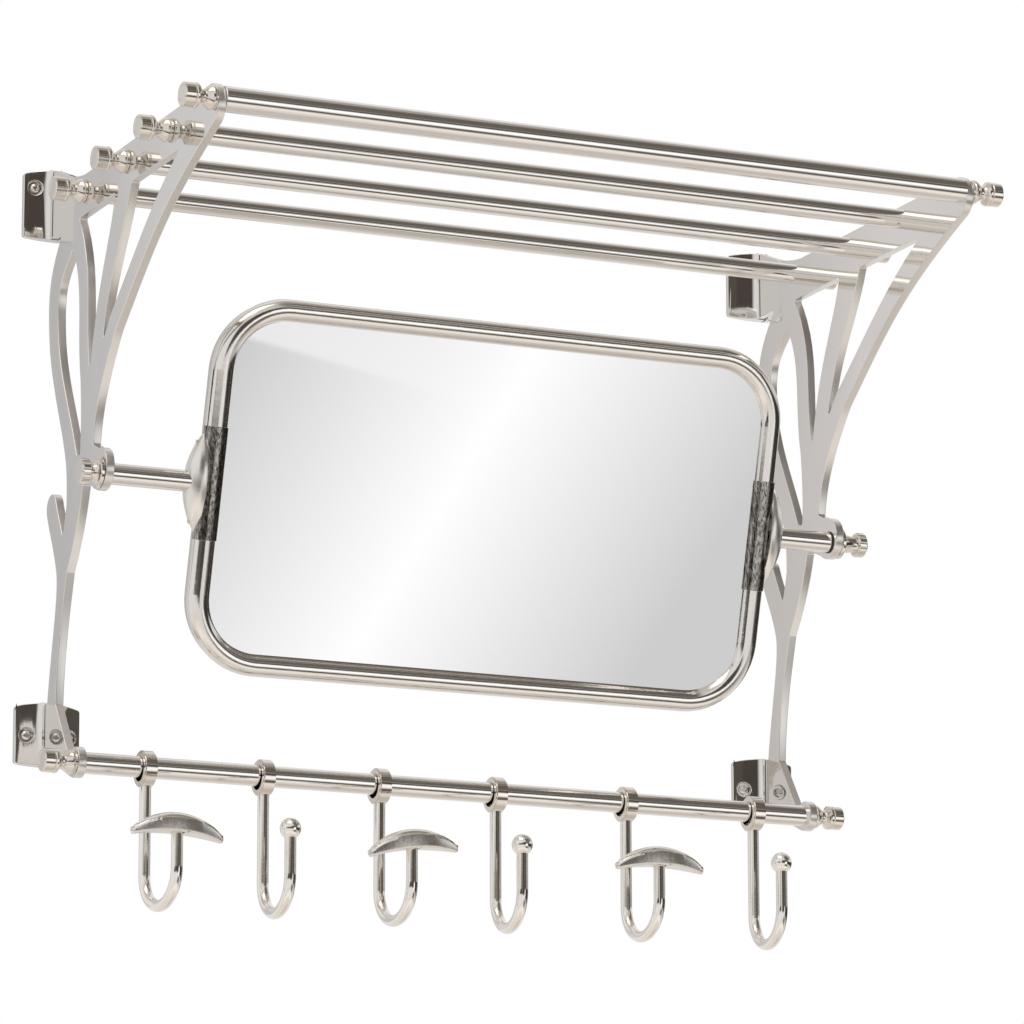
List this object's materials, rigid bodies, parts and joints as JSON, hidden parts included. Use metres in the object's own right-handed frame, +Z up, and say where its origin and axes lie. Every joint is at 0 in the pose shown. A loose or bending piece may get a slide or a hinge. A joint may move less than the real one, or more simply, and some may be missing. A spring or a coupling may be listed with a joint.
{
  "type": "mirror with hooks",
  "caption": "Wall rack with a tilting mirror between two cast brackets, a shelf of round bars above and a rail of sliding coat hooks below.",
  "frame": {"origin": "middle of the outer wall screws, on the wall", "axes": "+X to the right along the bars, +Y into the wall, +Z up"},
  "size_m": [0.7, 0.381, 0.6157],
  "materials": {
    "cast_nickel": "satin polished nickel plate over cast metal",
    "nickel_tube": "polished nickel plate over drawn tube and rod",
    "nickel_turned": "polished nickel plate over turned metal",
    "nickel_sheet": "brushed nickel plate over folded sheet",
    "mirror_glass": "silvered float glass",
    "backing_board": "pressed wood fibre board",
    "plug_plastic": "moulded plug",
    "fibre": "vulcanised fibre washer"
  },
  "bodies": {
    "rack": {"left_bracket": "cast_nickel", "right_bracket": "cast_nickel", "shelf_bar_1": "nickel_tube", "shelf_bar_2": "nickel_tube", "shelf_bar_3": "nickel_tube", "shelf_bar_front": "nickel_tube", "hook_rail": "nickel_tube", "bar_end_plugs": "plug_plastic", "finial_1_left": "nickel_turned", "finial_2_left": "nickel_turned", "finial_3_left": "nickel_turned", "finial_front_left": "nickel_turned", "finial_rail_left": "nickel_turned", "finial_1_right": "nickel_turned", "finial_2_right": "nickel_turned", "finial_3_right": "nickel_turned", "finial_front_right": "nickel_turned", "finial_rail_right": "nickel_turned", "friction_washer_left": "fibre", "friction_washer_right": "fibre"},
    "mirror": {"mirror_frame": "nickel_tube", "mirror_glass": "mirror_glass", "backing_board": "backing_board", "back_tray": "nickel_sheet", "ear_rivets": "nickel_turned", "frame_sleeve_left": "nickel_tube", "pivot_ear_left": "nickel_turned", "pivot_tube_left": "nickel_tube", "frame_sleeve_right": "nickel_tube", "pivot_ear_right": "nickel_turned", "pivot_tube_right": "nickel_tube"},
    "left_knob": {"thumb_knob_left": "nickel_turned"},
    "right_knob": {"thumb_knob_right": "nickel_turned"},
    "ring_1": {"hook_ring_1": "nickel_turned"},
    "ring_2": {"hook_ring_2": "nickel_turned"},
    "ring_3": {"hook_ring_3": "nickel_turned"},
    "ring_4": {"hook_ring_4": "nickel_turned"},
    "ring_5": {"hook_ring_5": "nickel_turned"},
    "ring_6": {"hook_ring_6": "nickel_turned"},
    "hook_1": {"hook_wire_1": "nickel_tube", "hat_rest_1": "nickel_turned"},
    "hook_2": {"hook_wire_2": "nickel_tube", "ball_tip_2": "nickel_turned"},
    "hook_3": {"hook_wire_3": "nickel_tube", "hat_rest_3": "nickel_turned"},
    "hook_4": {"hook_wire_4": "nickel_tube", "ball_tip_4": "nickel_turned"},
    "hook_5": {"hook_wire_5": "nickel_tube", "hat_rest_5": "nickel_turned"},
    "hook_6": {"hook_wire_6": "nickel_tube", "ball_tip_6": "nickel_turned"}
  },
  "joints": [
    {"name": "mirror_tilt", "type": "hinge", "parent": "rack", "child": "mirror", "pos_m": [0, -0.133, -0.037], "axis": [1, 0, 0], "range_deg": [-70, 40]},
    {"name": "knob_turn_left", "type": "hinge", "parent": "rack", "child": "left_knob", "pos_m": [-0.33, -0.133, -0.037], "axis": [-1, 0, 0], "range_deg": [0, 360]},
    {"name": "knob_turn_right", "type": "hinge", "parent": "rack", "child": "right_knob", "pos_m": [0.33, -0.133, -0.037], "axis": [1, 0, 0], "range_deg": [0, 360]},
    {"name": "ring_slide_1", "type": "slide", "parent": "rack", "child": "ring_1", "axis": [1, 0, 0], "range_m": [-0.02, 0.02]},
    {"name": "hook_swing_1", "type": "hinge", "parent": "ring_1", "child": "hook_1", "pos_m": [-0.2634, -0.082, -0.2594], "axis": [-1, 0, 0], "range_deg": [-45, 90]},
    {"name": "ring_slide_2", "type": "slide", "parent": "rack", "child": "ring_2", "axis": [1, 0, 0], "range_m": [-0.02, 0.02]},
    {"name": "hook_swing_2", "type": "hinge", "parent": "ring_2", "child": "hook_2", "pos_m": [-0.1637, -0.082, -0.2594], "axis": [-1, 0, 0], "range_deg": [-45, 90]},
    {"name": "ring_slide_3", "type": "slide", "parent": "rack", "child": "ring_3", "axis": [1, 0, 0], "range_m": [-0.02, 0.02]},
    {"name": "hook_swing_3", "type": "hinge", "parent": "ring_3", "child": "hook_3", "pos_m": [-0.0639, -0.082, -0.2594], "axis": [-1, 0, 0], "range_deg": [-45, 90]},
    {"name": "ring_slide_4", "type": "slide", "parent": "rack", "child": "ring_4", "axis": [1, 0, 0], "range_m": [-0.02, 0.02]},
    {"name": "hook_swing_4", "type": "hinge", "parent": "ring_4", "child": "hook_4", "pos_m": [0.0377, -0.082, -0.2594], "axis": [-1, 0, 0], "range_deg": [-45, 90]},
    {"name": "ring_slide_5", "type": "slide", "parent": "rack", "child": "ring_5", "axis": [1, 0, 0], "range_m": [-0.02, 0.02]},
    {"name": "hook_swing_5", "type": "hinge", "parent": "ring_5", "child": "hook_5", "pos_m": [0.1539, -0.082, -0.2594], "axis": [-1, 0, 0], "range_deg": [-45, 90]},
    {"name": "ring_slide_6", "type": "slide", "parent": "rack", "child": "ring_6", "axis": [1, 0, 0], "range_m": [-0.02, 0.02]},
    {"name": "hook_swing_6", "type": "hinge", "parent": "ring_6", "child": "hook_6", "pos_m": [0.2697, -0.082, -0.2594], "axis": [-1, 0, 0], "range_deg": [-45, 90]}
  ]
}
